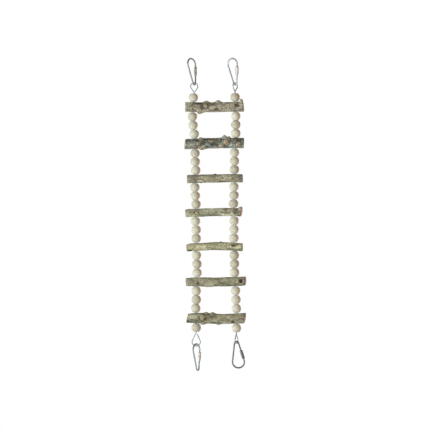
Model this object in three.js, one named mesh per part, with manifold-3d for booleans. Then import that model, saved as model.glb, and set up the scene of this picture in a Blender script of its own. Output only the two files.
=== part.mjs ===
// A hanging climbing ladder for cage birds and small pets, in millimetres, +Z up.
// Seven rungs sawn from raw branches are threaded, with round wooden beads between them, on two steel wires.
// Each wire ends in a bent eye, and each eye carries a pear-shaped screw link.
// The ladder hangs: X runs along the rungs, -Y is the front, and the origin lies midway between the two
// top links, on the line where a bar through both of them bears.
import * as THREE from "three";
import { mergeVertices } from "three/addons/utils/BufferGeometryUtils.js";
import Module from "manifold-3d";

const wasm = await Module();
wasm.setup();

// ---- Driving dimensions ----

const CLEARANCE = 0.3; // between touching pieces
const STACK_PLAY = 0.4; // between pieces threaded on a wire, which tilt a little on it
const HOOK_PLAY = 0.8; // between two hooked bends, which cross askew

const WIRE_DIAMETER = 1.3;
const WIRE_SIDES = 6;
const WIRE_RISE = 1; // from the last bead's end to the crossing of the eye's legs
const WIRE_STEPS_PER_RUNG = 4;
const EYE_STEPS = 12; // round the crown
const EYE_LEG_SHARES = [0.12, 0.45]; // stations up the standing leg, from the crossing
const EYE_TAIL_SHARES = [0.7, 0.45, 0.2]; // stations down the returning leg, to its cut end

const BEAD_DIAMETER = 12;
const BEAD_LENGTH = 10.2;
const GAP_LENGTH_CHANGES = [0.2, 0, -0.1, 0.1, 0.2, 0.35]; // turned by hand, so batches differ by gap
const BEAD_END_CUT = 0.7; // taken off each domed end to leave the flat round the bore
const BEAD_BORE = 4;
const BEAD_SEGMENTS = 12;
const BEAD_ARC_STEPS = 4; // even, so that one ring of corners lies on the full diameter
const BEADS_PER_GAP = 3;

const RUNG_BORE = 3.4;
const RUNG_SIDES = 12;
const RUNG_STATIONS = 22;
const DRILL_SIDES = 8;
const DRILL_LENGTH = 40; // through the thickest rung and its knots

const LINK_WIRE = 2;
const LINK_LENGTH = 35; // outside
const LINK_WIDTH = 16.8; // outside, at the wide end
const LINK_NARROW_WIDTH = 7.2; // outside, at the narrow end
const LINK_SIDES = 8;
const LINK_WIDE_STEPS = 11; // odd, so that one flat lies square on the crown
const LINK_NARROW_STEPS = 7;
const LINK_LEG_STEPS = 2;
const GATE_GAP = 3; // opening in the link's leg, which the sleeve covers
const GATE_START = 4.1; // from the wide bend's end to the opening, along the leg
const SLEEVE_SIDES = 6;
const SLEEVE_LENGTH = 11;
const SLEEVE_FLATS = 3.7; // across flats
const SLEEVE_TAPER = 3.2; // length of each tapered end
const SLEEVE_OVERLAP = 2.1; // of the closed sleeve over the leg's short end

// Every rung is a different piece of branch. Offsets run along the rung from its middle, and angles run round
// it in degrees: 0 faces the front, 90 is up. A knot is [along, angle, radius, height].
const RUNGS = [
  {
    length: 72.8, diameter: 12.6, middle: -0.8, tilt: 0.4, bow: -0.3, wires: [-27.8, 25.7],
    cuts: { left: [3, 0], right: [-7, 5] },
    knots: [
      [-10, 80, 3.2, 2.5], [4.4, 82, 3.3, 3.1], [-19.6, -76, 5.2, 2.9],
      [-22, -8, 5.5, 1.3], [33.4, 84, 3.8, 4.2],
    ],
  },
  {
    length: 73.6, diameter: 12.9, middle: -0.8, tilt: 1.2, bow: 0.3, wires: [-25.7, 25.2],
    cuts: { left: [6, -6], right: [-5, -3] },
    knots: [
      [-17.8, 66, 3.2, 1.9], [-18.8, -15, 4, 1.2], [-15.8, -72, 4.6, 2.3], [12.8, 80, 3.2, 4.5],
      [18.6, 82, 2.6, 2.6], [15.7, 0, 3, 1.7], [9.2, -55, 3, 1.4], [30.7, -28, 3.6, 1.9],
    ],
  },
  {
    length: 69.6, diameter: 10.6, middle: -0.2, tilt: 0.9, bow: 0.2, wires: [-24.6, 24.1],
    cuts: { left: [2, 0], right: [-5, 0] },
    knots: [[-18.3, -70, 4, 0.8]],
  },
  {
    length: 70, diameter: 10.4, middle: -1.9, tilt: 0.9, bow: 0.3, wires: [-24.3, 23.4],
    cuts: { left: [6, 3], right: [-14, -10] },
    knots: [[33.8, 68, 3.8, 2.4]],
  },
  {
    length: 69.6, diameter: 10.3, middle: -0.4, tilt: 0.4, bow: 0.7, wires: [-23.5, 23.8],
    cuts: { left: [10, 4], right: [-8, 0] },
    knots: [],
  },
  {
    length: 74, diameter: 11.5, middle: 1, tilt: 0.5, bow: -0.4, wires: [-23, 25],
    cuts: { left: [9, 3], right: [-12, -2] },
    knots: [[-7.8, -60, 5, 0.7]],
  },
  {
    length: 71.8, diameter: 13.2, middle: 1.4, tilt: -0.6, bow: -0.5, wires: [-23.8, 26.8],
    cuts: { left: [4, -12], right: [-12, -8] },
    knots: [
      [-17.6, 15, 3.2, 1.6], [-16.6, -74, 3.2, 1.8], [-12.3, 80, 2.8, 1.9],
      [-4.5, 82, 2.8, 2], [2.9, -78, 2.6, 1.5],
    ],
  },
];
const SEAT_WIDTH = 4.6; // each side of a wire, where the bark stays at its plain radius for a bead
const SEAT_RAMP = 2; // over which knots grow again beyond a seat
const SEAT_FACING = [0.35, 0.75]; // how upright the bark faces where a seat begins and is complete
const SAWN_SHARE = 0.8; // of the half length, beyond which the bark follows the slant of the saw cut

// The bores are wide on the wires, so each bead sits a little to one side. From the top bead down.
const SIDES = [
  {
    name: "left", top: -26, bottom: -23.5,
    beads: [
      -0.6, -0.9, -0.9, 0.1, 0.5, 0.4, 0.7, -0.6, -0.2, 0.6,
      -0.3, 0.4, 0.1, 0.2, 0.7, 0.6, -0.4, 0, -0.4, 0.2,
    ],
  },
  {
    name: "right", top: 25.2, bottom: 26.9,
    beads: [
      -0.2, 0.3, 0.5, 0.8, -0.8, -0.3, 0, -0.3, 0.1, -0.4,
      0.3, 0.2, -0.2, 0.2, 0, -0.3, 0.4, 0.4, 0.2, -0.1,
    ],
  },
];

const TOP_EYE_HEIGHT = 12.2; // both top eyes, so that the ladder hangs level
const TOP_LEAN = 8; // both top links

// An eye is a teardrop of wire: height from its crossing to its crown, crown radius, and turn about Z.
const EYES = {
  top_left: { height: TOP_EYE_HEIGHT, radius: 4.5, turn: -10 },
  top_right: { height: TOP_EYE_HEIGHT, radius: 4.1, turn: 48 },
  bottom_left: { height: 16.8, radius: 5.2, turn: -4 },
  bottom_right: { height: 13.2, radius: 4.1, turn: 62 },
};

// How a link hangs in its eye: which end is in the eye, its lean in the ladder's plane, and its turn about
// its own length.
const LINKS = {
  top_left: { hooked: "narrow", lean: TOP_LEAN, turn: 51 },
  top_right: { hooked: "narrow", lean: TOP_LEAN, turn: -41 },
  bottom_left: { hooked: "wide", lean: 4, turn: 57 },
  bottom_right: { hooked: "narrow", lean: 6, turn: 180 },
};

const MERGE_DISTANCE = 1e-3; // between corners that are one

const WOOD_BARK = 0x8f8a72;
const WOOD_BEAD = 0xded9b8;
const STEEL = 0xb4b7b8;

// ---- Derived sizes ----

const radians = THREE.MathUtils.degToRad;
const wideRadius = (LINK_WIDTH - LINK_WIRE) / 2;
const narrowRadius = (LINK_NARROW_WIDTH - LINK_WIRE) / 2;
const centreDistance = LINK_LENGTH - LINK_WIRE - wideRadius - narrowRadius;
const legAngle = Math.asin((wideRadius - narrowRadius) / centreDistance);
const legLength = centreDistance * Math.cos(legAngle);
const contactDistance = (LINK_WIRE + WIRE_DIAMETER) / 2 + HOOK_PLAY; // between the axes of two hooked wires
const pivotFromWide = centreDistance + narrowRadius - contactDistance;

// The pivots of both top links lie on one line, this far below the bar's bearing line.
const topPivotZ = -(wideRadius - LINK_WIRE / 2) - pivotFromWide * Math.cos(radians(TOP_LEAN));
const topBeadZ = topPivotZ - TOP_EYE_HEIGHT - WIRE_RISE - BEAD_LENGTH / 2;

const gapBeadLengths = GAP_LENGTH_CHANGES.map((change) => BEAD_LENGTH + change);

// ---- Helpers ----

function material(color, roughness, metalness) {
  return new THREE.MeshStandardMaterial({ color, roughness, metalness });
}

function solidOf(geometry) {
  const plain = new THREE.BufferGeometry()
    .setAttribute("position", geometry.getAttribute("position"))
    .setIndex(geometry.index);
  const merged = mergeVertices(plain, MERGE_DISTANCE);
  return new wasm.Manifold(new wasm.Mesh({
    numProp: 3,
    vertProperties: merged.getAttribute("position").array,
    triVerts: new Uint32Array(merged.index.array),
  }));
}

function geometryOf(solid) {
  const mesh = solid.getMesh();
  const positions = new Float32Array(mesh.numVert * 3);
  for (let i = 0; i < mesh.numVert; i++) {
    positions.set(mesh.vertProperties.subarray(i * mesh.numProp, i * mesh.numProp + 3), i * 3);
  }
  return new THREE.BufferGeometry()
    .setAttribute("position", new THREE.BufferAttribute(positions, 3))
    .setIndex(new THREE.BufferAttribute(mesh.triVerts, 1));
}

function namedMesh(name, geometry, look) {
  const mesh = new THREE.Mesh(geometry, look);
  mesh.name = name;
  return mesh;
}

// A curve through given stations, which the extrusion takes one by one: close together in the bends and far
// apart where the wire runs straight.
class StationCurve extends THREE.Curve {
  constructor(stations) {
    super();
    this.stations = stations;
  }

  getPoint(t) {
    const place = t * (this.stations.length - 1);
    const i = Math.min(Math.floor(place), this.stations.length - 2);
    return this.stations[i].clone().lerp(this.stations[i + 1], place - i);
  }

  getPointAt(u) {
    return this.getPoint(u);
  }

  getSpacedPoints() {
    return this.stations.map((station) => station.clone());
  }

  getTangentAt(u) {
    const last = this.stations.length - 1;
    const i = Math.round(u * last);
    const before = this.stations[Math.max(i - 1, 0)];
    const after = this.stations[Math.min(i + 1, last)];
    return after.clone().sub(before).normalize();
  }
}

// A round bar swept along stations. Half a step of turn puts a flat of the section square to each side.
function sweptWire(stations, diameter, sides) {
  const section = new THREE.Shape();
  for (let i = 0; i < sides; i++) {
    const angle = ((i + 0.5) / sides) * 2 * Math.PI;
    const corner = [Math.cos(angle) * diameter / 2, Math.sin(angle) * diameter / 2];
    if (i === 0) section.moveTo(...corner);
    else section.lineTo(...corner);
  }
  section.closePath();
  return new THREE.ExtrudeGeometry(section, {
    steps: stations.length - 1,
    extrudePath: new StationCurve(stations),
    bevelEnabled: false,
  });
}

// ---- Rungs ----

const smoothstep = THREE.MathUtils.smoothstep;

// How far the bark stands out from its plain radius at a place along the rung and round it.
function knotHeight(rung, along, angle) {
  const seats = rung.wires.map((x) => Math.abs(along - (x - rung.middle)));
  const seatEdge = smoothstep(Math.min(...seats), SEAT_WIDTH, SEAT_WIDTH + SEAT_RAMP);
  const facing = smoothstep(Math.abs(Math.sin(angle)), ...SEAT_FACING); // 1 where a bead can bear
  const allowed = 1 - facing * (1 - seatEdge);
  let height = 0;
  for (const [knotAlong, knotAngle, radius, peak] of rung.knots) {
    const round = Math.atan2(Math.sin(angle - radians(knotAngle)), Math.cos(angle - radians(knotAngle)));
    const distance = Math.hypot(along - knotAlong, (round * rung.diameter) / 2) / radius;
    height = Math.max(height, peak * Math.exp(-(distance ** 2)));
  }
  return height * allowed;
}

// The rung's middle line rises by its bow at the middle and passes through zero height at the wires.
function bowAt(rung, along) {
  const reach = (rung.wires[1] - rung.wires[0]) / 2;
  return rung.bow * (1 - (along / reach) ** 2);
}

function branchGeometry(rung) {
  const half = rung.length / 2;
  const geometry = new THREE.CylinderGeometry(1, 1, rung.length, RUNG_SIDES, RUNG_STATIONS);
  geometry.rotateZ(-Math.PI / 2);
  const positions = geometry.getAttribute("position");
  for (let i = 0; i < positions.count; i++) {
    const along = positions.getX(i);
    const y = positions.getY(i);
    const z = positions.getZ(i);
    const onSkin = Math.hypot(y, z); // 1 on the bark and 0 at the middle of a sawn end
    const angle = Math.atan2(z, -y);
    const radius = (rung.diameter / 2 + knotHeight(rung, along, angle)) * onSkin;
    const newY = -Math.cos(angle) * radius;
    const newZ = Math.sin(angle) * radius;
    const [yaw, pitch] = along < 0 ? rung.cuts.left : rung.cuts.right;
    const nearEnd = smoothstep(Math.abs(along), half * SAWN_SHARE, half);
    const sawn = (newY * Math.tan(radians(yaw)) + newZ * Math.tan(radians(pitch))) * nearEnd;
    positions.setXYZ(i, along - sawn, newY, newZ + bowAt(rung, along));
  }
  return geometry;
}

function makeRung(index, z) {
  const rung = RUNGS[index];
  const tilt = radians(rung.tilt);
  let solid = solidOf(branchGeometry(rung));
  for (const x of rung.wires) {
    const drill = new THREE.CylinderGeometry(RUNG_BORE / 2, RUNG_BORE / 2, DRILL_LENGTH, DRILL_SIDES);
    drill.rotateX(Math.PI / 2);
    drill.rotateY(tilt); // the rung is turned back by its tilt, so the bore ends upright
    drill.translate((x - rung.middle) / Math.cos(tilt), 0, 0);
    solid = solid.subtract(solidOf(drill));
  }
  const mesh = namedMesh(`rung_${index + 1}`, geometryOf(solid), material(WOOD_BARK, 0.9, 0));
  mesh.rotation.y = -tilt;
  mesh.position.set(rung.middle, 0, z);
  return mesh;
}

// Heights of the rungs' middles, each as far below the last as their radii and the beads between them need.
const rungZ = [];
for (const [i, rung] of RUNGS.entries()) {
  if (i === 0) {
    rungZ.push(topBeadZ - BEAD_LENGTH / 2 - STACK_PLAY - rung.diameter / 2);
  } else {
    const beads = BEADS_PER_GAP * gapBeadLengths[i - 1] + (BEADS_PER_GAP + 1) * STACK_PLAY;
    rungZ.push(rungZ[i - 1] - (RUNGS[i - 1].diameter + rung.diameter) / 2 - beads);
  }
}

// Height of a rung's middle line where a wire passes through it.
function rungHeightAt(index, x) {
  const rung = RUNGS[index];
  return rungZ[index] + (x - rung.middle) * Math.tan(radians(rung.tilt)) + bowAt(rung, x - rung.middle);
}

// ---- Wires ----

// Sideways place of a wire at a height: upright through every rung, and eased from one rung to the next.
function wireX(side, z) {
  const s = SIDES.indexOf(side);
  const stops = RUNGS.map((rung, i) => [rungHeightAt(i, rung.wires[s]), rung.wires[s]]);
  stops.unshift([topPivotZ - TOP_EYE_HEIGHT, side.top]);
  stops.push([bottomCrossingZ(side), side.bottom]);
  let i = 0;
  while (i < stops.length - 2 && z < stops[i + 1][0]) i++;
  const [[above, from], [below, to]] = [stops[i], stops[i + 1]];
  return from + (to - from) * smoothstep(above - z, 0, above - below);
}

function bottomBeadZ(side) {
  const last = RUNGS.length - 1;
  const x = RUNGS[last].wires[SIDES.indexOf(side)];
  return rungHeightAt(last, x) - RUNGS[last].diameter / 2 - STACK_PLAY - BEAD_LENGTH / 2;
}

function bottomCrossingZ(side) {
  return bottomBeadZ(side) - BEAD_LENGTH / 2 - WIRE_RISE;
}

function eyePivot(side, end) {
  return end === "top"
    ? new THREE.Vector3(side.top, 0, topPivotZ)
    : new THREE.Vector3(side.bottom, 0, bottomCrossingZ(side) - EYES[`bottom_${side.name}`].height);
}

// The eye's stations, from its crossing round the crown and back to its cut end, in the plane of the eye.
// The returning leg passes beside the standing one, so the eye leans out of its plane by one wire.
function eyeStations(eye, crossing, up) {
  const reach = eye.height - eye.radius;
  const half = Math.asin(eye.radius / reach); // between the eye's middle line and each leg
  const sweep = Math.PI + 2 * half;
  const points = [];
  const straight = reach * Math.cos(half);
  for (const share of EYE_LEG_SHARES) {
    points.push([-Math.sin(half) * straight * share, Math.cos(half) * straight * share]);
  }
  for (let i = 0; i <= EYE_STEPS; i++) {
    const angle = Math.PI + half - (sweep * i) / EYE_STEPS;
    points.push([Math.cos(angle) * eye.radius, reach + Math.sin(angle) * eye.radius]);
  }
  for (const share of EYE_TAIL_SHARES) {
    points.push([Math.sin(half) * straight * share, Math.cos(half) * straight * share]);
  }
  const turn = radians(eye.turn);
  const aside = (WIRE_DIAMETER + CLEARANCE) / 2;
  const tailSteps = EYE_TAIL_SHARES.length;
  return points.map(([u, v], i) => {
    const w = aside * (Math.max(0, i - points.length + 1 + tailSteps) / tailSteps);
    return new THREE.Vector3(
      crossing.x + u * Math.cos(turn) - w * Math.sin(turn),
      crossing.y + u * Math.sin(turn) + w * Math.cos(turn),
      crossing.z + up * v,
    );
  });
}

function makeWire(side) {
  const top = new THREE.Vector3(side.top, 0, topPivotZ - TOP_EYE_HEIGHT);
  const bottom = new THREE.Vector3(side.bottom, 0, bottomCrossingZ(side));
  const stations = eyeStations(EYES[`top_${side.name}`], top, 1).reverse();
  const spans = (RUNGS.length + 1) * WIRE_STEPS_PER_RUNG;
  for (let i = 0; i <= spans; i++) {
    const z = top.z + ((bottom.z - top.z) * i) / spans;
    stations.push(new THREE.Vector3(wireX(side, z), 0, z));
  }
  stations.push(...eyeStations(EYES[`bottom_${side.name}`], bottom, -1));
  return namedMesh(
    `wire_${side.name}`,
    sweptWire(stations, WIRE_DIAMETER, WIRE_SIDES),
    material(STEEL, 0.35, 1),
  );
}

// ---- Beads ----

function beadGeometry(length) {
  const half = length / 2;
  const dome = half + BEAD_END_CUT;
  const start = -Math.asin(half / dome);
  const profile = [new THREE.Vector2(BEAD_BORE / 2, -half)];
  for (let i = 0; i <= BEAD_ARC_STEPS; i++) {
    const angle = start - (2 * start * i) / BEAD_ARC_STEPS;
    profile.push(new THREE.Vector2((Math.cos(angle) * BEAD_DIAMETER) / 2, Math.sin(angle) * dome));
  }
  profile.push(new THREE.Vector2(BEAD_BORE / 2, half));
  profile.push(profile[0].clone());
  return new THREE.LatheGeometry(profile, BEAD_SEGMENTS).rotateX(Math.PI / 2);
}

// Length and height of each of a side's beads: one above the top rung, those of each gap shared out evenly,
// and one at the bottom.
function beadPlaces(side) {
  const s = SIDES.indexOf(side);
  const top = rungHeightAt(0, RUNGS[0].wires[s]) + RUNGS[0].diameter / 2 + STACK_PLAY + BEAD_LENGTH / 2;
  const places = [[BEAD_LENGTH, top]];
  for (let i = 0; i < RUNGS.length - 1; i++) {
    const above = rungHeightAt(i, RUNGS[i].wires[s]) - RUNGS[i].diameter / 2;
    const below = rungHeightAt(i + 1, RUNGS[i + 1].wires[s]) + RUNGS[i + 1].diameter / 2;
    const length = gapBeadLengths[i];
    const play = (above - below - BEADS_PER_GAP * length) / (BEADS_PER_GAP + 1);
    for (let k = 0; k < BEADS_PER_GAP; k++) {
      places.push([length, above - (play + length) * (k + 1) + length / 2]);
    }
  }
  places.push([BEAD_LENGTH, bottomBeadZ(side)]);
  return places;
}

function makeBead(side, index, length, z) {
  const mesh = namedMesh(
    `bead_${side.name}_${String(index + 1).padStart(2, "0")}`,
    beadGeometry(length),
    material(WOOD_BEAD, 0.6, 0),
  );
  const boreFlats = BEAD_BORE * Math.cos(Math.PI / BEAD_SEGMENTS);
  const slack = (boreFlats - WIRE_DIAMETER) / 2 - 2 * CLEARANCE;
  const aside = side.beads[index % side.beads.length];
  mesh.position.set(wireX(side, z) + THREE.MathUtils.clamp(aside, -slack, slack), 0, z);
  return mesh;
}

// ---- Screw links ----

// The link lies in X-Z, wide bend up, with the wide bend's centre at the origin. Its wire starts at the
// short threaded end above the gate, goes round the crown and the narrow bend, and ends below the gate.
function linkStations() {
  const stations = [];
  const along = (distance) => {
    const tangent = new THREE.Vector2(Math.cos(legAngle), Math.sin(legAngle)).multiplyScalar(wideRadius);
    tangent.y = -tangent.y;
    return new THREE.Vector3(
      tangent.x - Math.sin(legAngle) * distance,
      0,
      tangent.y - Math.cos(legAngle) * distance,
    );
  };
  const arc = (radius, centreZ, from, to, steps) => {
    for (let i = 0; i <= steps; i++) {
      const angle = from + ((to - from) * i) / steps;
      stations.push(new THREE.Vector3(Math.cos(angle) * radius, 0, centreZ + Math.sin(angle) * radius));
    }
  };
  stations.push(along(GATE_START));
  arc(wideRadius, 0, -legAngle, Math.PI + legAngle, LINK_WIDE_STEPS);
  for (let i = 1; i < LINK_LEG_STEPS; i++) {
    const point = along((legLength * i) / LINK_LEG_STEPS);
    stations.push(new THREE.Vector3(-point.x, 0, point.z));
  }
  arc(narrowRadius, -centreDistance, Math.PI + legAngle, 2 * Math.PI - legAngle, LINK_NARROW_STEPS);
  stations.push(along(GATE_START + GATE_GAP));
  return stations;
}

// The sleeve is a six-sided nut with tapered ends, round the leg's gate.
function sleeveGeometry() {
  const cornerShare = 1 / Math.cos(Math.PI / SLEEVE_SIDES);
  const bore = (LINK_WIRE / 2 + CLEARANCE) * cornerShare;
  const corner = (SLEEVE_FLATS / 2) * cornerShare;
  const tip = (bore + corner) / 2;
  const half = SLEEVE_LENGTH / 2;
  const profile = [
    [bore, -half], [tip, -half], [corner, -half + SLEEVE_TAPER],
    [corner, half - SLEEVE_TAPER], [tip, half], [bore, half], [bore, -half],
  ].map(([x, y]) => new THREE.Vector2(x, y));
  return new THREE.LatheGeometry(profile, SLEEVE_SIDES).rotateX(Math.PI / 2);
}

function makeLink(side, end) {
  const key = `${end}_${side.name}`;
  const place = LINKS[key];
  const bar = sweptWire(linkStations(), LINK_WIRE, LINK_SIDES);
  const link = namedMesh(`link_${key}`, bar, material(STEEL, 0.3, 1));

  const sleeve = namedMesh(`sleeve_${key}`, sleeveGeometry(), material(STEEL, 0.3, 1));
  const centre = GATE_START - SLEEVE_OVERLAP + SLEEVE_LENGTH / 2;
  sleeve.rotation.y = legAngle;
  sleeve.position.set(
    Math.cos(legAngle) * wideRadius - Math.sin(legAngle) * centre,
    0,
    -Math.sin(legAngle) * wideRadius - Math.cos(legAngle) * centre,
  );

  // Inside this group the link turns about its own length; the group then hangs it from its hooked bend.
  const turned = new THREE.Group().add(link, sleeve);
  turned.rotation.z = radians(place.turn);
  const hooked = new THREE.Group().add(turned);
  const wideUp = (end === "top") === (place.hooked === "narrow");
  if (place.hooked === "narrow") {
    turned.position.z = pivotFromWide;
  } else {
    turned.position.z = contactDistance - wideRadius;
  }
  const hanging = new THREE.Group().add(hooked);
  if (!wideUp) hooked.rotation.y = Math.PI;
  hanging.rotation.y = -radians(place.lean);
  hanging.position.copy(eyePivot(side, end));
  return hanging;
}

// ---- Assembly ----

const ladder = new THREE.Group();
RUNGS.forEach((_, i) => ladder.add(makeRung(i, rungZ[i])));
for (const side of SIDES) {
  ladder.add(makeWire(side));
  beadPlaces(side).forEach(([length, z], i) => ladder.add(makeBead(side, i, length, z)));
  ladder.add(makeLink(side, "top"), makeLink(side, "bottom"));
}

export default ladder;
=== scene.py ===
import math

import bpy
import numpy as np
from mathutils import Matrix, Vector


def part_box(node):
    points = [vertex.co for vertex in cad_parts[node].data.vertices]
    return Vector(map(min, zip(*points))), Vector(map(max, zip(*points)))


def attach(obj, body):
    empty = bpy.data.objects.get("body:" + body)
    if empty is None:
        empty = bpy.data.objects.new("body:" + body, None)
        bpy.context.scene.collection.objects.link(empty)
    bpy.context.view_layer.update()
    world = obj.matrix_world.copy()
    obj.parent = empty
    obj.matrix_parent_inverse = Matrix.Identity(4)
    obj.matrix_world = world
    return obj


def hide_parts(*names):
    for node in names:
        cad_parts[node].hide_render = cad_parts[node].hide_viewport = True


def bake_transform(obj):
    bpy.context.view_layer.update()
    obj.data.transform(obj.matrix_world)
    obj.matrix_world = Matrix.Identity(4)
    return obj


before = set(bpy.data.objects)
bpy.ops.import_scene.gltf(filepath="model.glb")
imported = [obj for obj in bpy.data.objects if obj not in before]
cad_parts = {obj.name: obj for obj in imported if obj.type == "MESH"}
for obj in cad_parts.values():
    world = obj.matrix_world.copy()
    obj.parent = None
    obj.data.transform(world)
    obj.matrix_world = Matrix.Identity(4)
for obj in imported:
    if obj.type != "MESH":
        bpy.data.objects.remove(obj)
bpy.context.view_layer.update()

MM = 0.001

# ---- Camera ----

LOOK_Z = -0.1945
VIEW_WIDTH = 0.5375  # of the picture at the ladder's plane
CAMERA_DISTANCE = 2.2
SENSOR_WIDTH = 36
camera = bpy.data.objects.new("camera", bpy.data.cameras.new("camera"))
camera.data.sensor_width = SENSOR_WIDTH
camera.data.lens = SENSOR_WIDTH * CAMERA_DISTANCE / VIEW_WIDTH
camera.data.clip_end = 50
camera.location = (0, -CAMERA_DISTANCE, LOOK_Z)
camera.rotation_euler = (math.pi / 2, 0, 0)
bpy.context.collection.objects.link(camera)
bpy.context.scene.camera = camera

# ---- The ladder's sizes, in millimetres, as the frame has them ----

WIRE_D, WIRE_RISE = 1.3, 1.0
BEAD_D, BEAD_L, BEAD_BORE, BEAD_CUT = 12.0, 10.2, 4.0, 0.7
GAP_LENGTH_CHANGES = (0.2, 0, -0.1, 0.1, 0.2, 0.35)
BEADS_PER_GAP, BEADS_PER_SIDE = 3, 20
LINK_D, LINK_L, LINK_W, LINK_N = 2.0, 35.0, 16.8, 7.2
GATE_START, GATE_GAP = 4.1, 3.0
SLEEVE_L, SLEEVE_FLATS, SLEEVE_TAPER, SLEEVE_OVER = 11.0, 3.7, 3.2, 2.1
THREAD_LENGTH, THREAD_PITCH, THREAD_DEPTH, THREAD_CHAMFER = 2.6, 0.5, 0.16, 0.3
CLEARANCE, STACK_PLAY, HOOK_PLAY = 0.3, 0.4, 0.8
TOP_EYE, TOP_LEAN = 12.2, 8.0
SEAT_WIDTH, SEAT_RAMP = 4.6, 2.0

# Bark colours, as linear RGB.
TAN, PALE, ORANGE = (0.37, 0.31, 0.21), (0.46, 0.42, 0.28), (0.46, 0.31, 0.16)
# the dark colour serves both dark bark marks and painted shadow beside raised knots
RED, DARK_BARK_AND_SHADOW, GREEN = (0.26, 0.13, 0.09), (0.045, 0.042, 0.034), (0.30, 0.33, 0.25)
HONEY, CORE = (0.60, 0.45, 0.22), (0.26, 0.175, 0.095)  # CORE is the brown middle of a twig scar
PINK, SLATE = (0.50, 0.38, 0.29), (0.16, 0.18, 0.165)

# Sawn ends and the bark's roughness, where a rung differs from the rest. The first rung is 0.
SAWN_PLAIN = (0.47, 0.39, 0.28)
SAWN = {3: (0.62, 0.47, 0.36), 5: (0.45, 0.31, 0.22), 6: (0.45, 0.31, 0.22)}
BARK_PLAIN = 0.9
BARK_ROUGHNESS = {0: 1.15, 1: 1.7, 6: 1.15}
SPECKLED_RUNG = 1
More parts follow.
